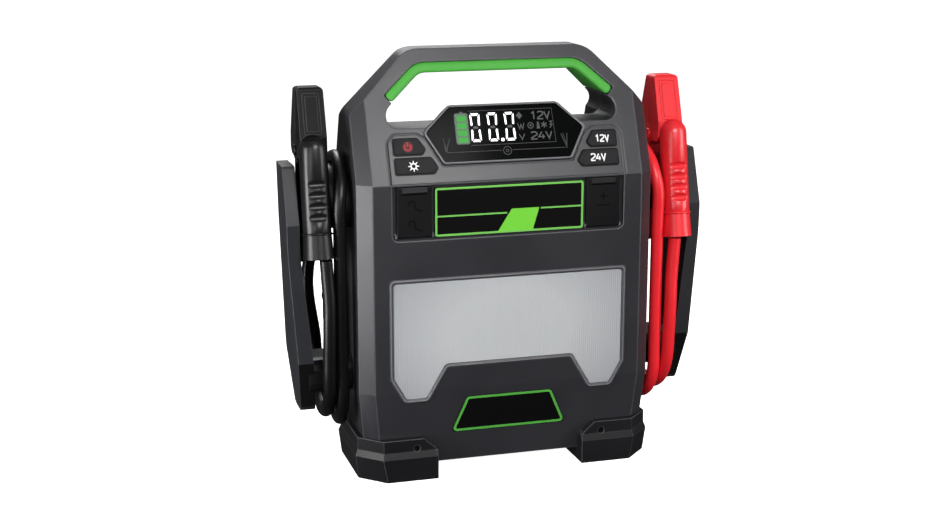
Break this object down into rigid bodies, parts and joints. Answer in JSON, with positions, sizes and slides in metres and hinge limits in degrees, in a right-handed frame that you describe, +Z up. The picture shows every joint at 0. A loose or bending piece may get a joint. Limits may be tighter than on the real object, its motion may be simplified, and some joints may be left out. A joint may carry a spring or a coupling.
{
  "type": "jump starter pack",
  "caption": "Portable jump starter: carrying case with handle, leaning console, work light, covered ports, side cleats with wound leads and spring clamps.",
  "frame": {"origin": "centre of the bounding box at the undersides of the feet", "axes": "+X to the right seen from the front, +Y to the rear, +Z up; the console and work light face -Y"},
  "size_m": [0.3526, 0.113, 0.345],
  "materials": {
    "case_plastic": "fine texture",
    "grip_rubber": "soft matte",
    "gloss_black": "gloss",
    "display_glass": "clear gloss over black",
    "dark_plastic": "satin",
    "black_rubber": "matte",
    "frosted_plastic": "frosted",
    "white_plastic": "gloss",
    "board": "solder mask",
    "cell": "shrink sleeve",
    "copper": "satin",
    "steel": "satin",
    "black_lead": "satin",
    "red_lead": "satin",
    "black_clamp": "satin",
    "red_clamp": "satin"
  },
  "bodies": {
    "case": {"front_shell": "case_plastic", "rear_shell": "case_plastic", "handle_grip": "grip_rubber", "console_panel": "case_plastic", "display_bezel": "gloss_black", "display_lens": "display_glass", "lcd_module": "dark_plastic", "control_board": "board", "port_panel": "dark_plastic", "cover_pins": "steel", "usb_socket": "steel", "dc_output_socket": "dark_plastic", "dc_input_socket": "dark_plastic", "label_plate": "gloss_black", "badge_plate": "gloss_black", "work_light_lens": "frosted_plastic", "light_reflector": "white_plastic", "light_board": "white_plastic", "battery_cells": "cell", "cell_trays": "dark_plastic", "busbars": "copper", "power_board": "board", "start_relays": "dark_plastic", "left_foot": "black_rubber", "right_foot": "black_rubber", "foot_screws": "steel", "case_screws": "steel", "left_cleat": "dark_plastic", "right_cleat": "dark_plastic", "cleat_screws": "steel", "left_gland": "dark_plastic", "right_gland": "dark_plastic", "black_inner_lead": "black_lead", "red_inner_lead": "red_lead", "black_cable": "black_lead", "red_cable": "red_lead", "black_clamp_front": "black_clamp", "black_clamp_boot": "black_lead", "black_clamp_pin": "black_clamp", "black_clamp_spring": "steel", "black_front_jaw": "copper", "red_clamp_front": "red_clamp", "red_clamp_boot": "red_lead", "red_clamp_pin": "red_clamp", "red_clamp_spring": "steel", "red_front_jaw": "copper"},
    "power_button": {"power_button": "dark_plastic"},
    "light_button": {"light_button": "dark_plastic"},
    "volt12_button": {"volt12_button": "dark_plastic"},
    "volt24_button": {"volt24_button": "dark_plastic"},
    "left_port_cover": {"left_port_cover": "dark_plastic"},
    "right_port_cover": {"right_port_cover": "dark_plastic"},
    "black_clamp_rear": {"black_clamp_rear": "black_clamp", "black_rear_jaw": "copper"},
    "red_clamp_rear": {"red_clamp_rear": "red_clamp", "red_rear_jaw": "copper"}
  },
  "joints": [
    {"name": "power_button_press", "type": "slide", "parent": "case", "child": "power_button", "axis": [0, 0.9285, -0.3714], "range_m": [0, 0.0008], "stiffness_N_per_m": 400, "springref_m": -0.002},
    {"name": "light_button_press", "type": "slide", "parent": "case", "child": "light_button", "axis": [0, 0.9285, -0.3714], "range_m": [0, 0.0008], "stiffness_N_per_m": 400, "springref_m": -0.002},
    {"name": "volt12_button_press", "type": "slide", "parent": "case", "child": "volt12_button", "axis": [0, 0.9285, -0.3714], "range_m": [0, 0.0008], "stiffness_N_per_m": 400, "springref_m": -0.002},
    {"name": "volt24_button_press", "type": "slide", "parent": "case", "child": "volt24_button", "axis": [0, 0.9285, -0.3714], "range_m": [0, 0.0008], "stiffness_N_per_m": 400, "springref_m": -0.002},
    {"name": "left_port_cover_swing", "type": "hinge", "parent": "case", "child": "left_port_cover", "pos_m": [-0.079, -0.0487, 0.2017], "axis": [1, 0, 0], "range_deg": [0, 110]},
    {"name": "right_port_cover_swing", "type": "hinge", "parent": "case", "child": "right_port_cover", "pos_m": [0.079, -0.0487, 0.2017], "axis": [1, 0, 0], "range_deg": [0, 110]},
    {"name": "black_clamp_rear_squeeze", "type": "hinge", "parent": "case", "child": "black_clamp_rear", "pos_m": [-0.1514, 0.0055, 0.266], "axis": [-1, 0, 0], "range_deg": [0, 22], "stiffness_Nm_per_rad": 1.2, "springref_deg": -20.05},
    {"name": "red_clamp_rear_squeeze", "type": "hinge", "parent": "case", "child": "red_clamp_rear", "pos_m": [0.1514, 0.0055, 0.266], "axis": [-1, 0, 0], "range_deg": [0, 22], "stiffness_Nm_per_rad": 1.2, "springref_deg": -20.05}
  ]
}
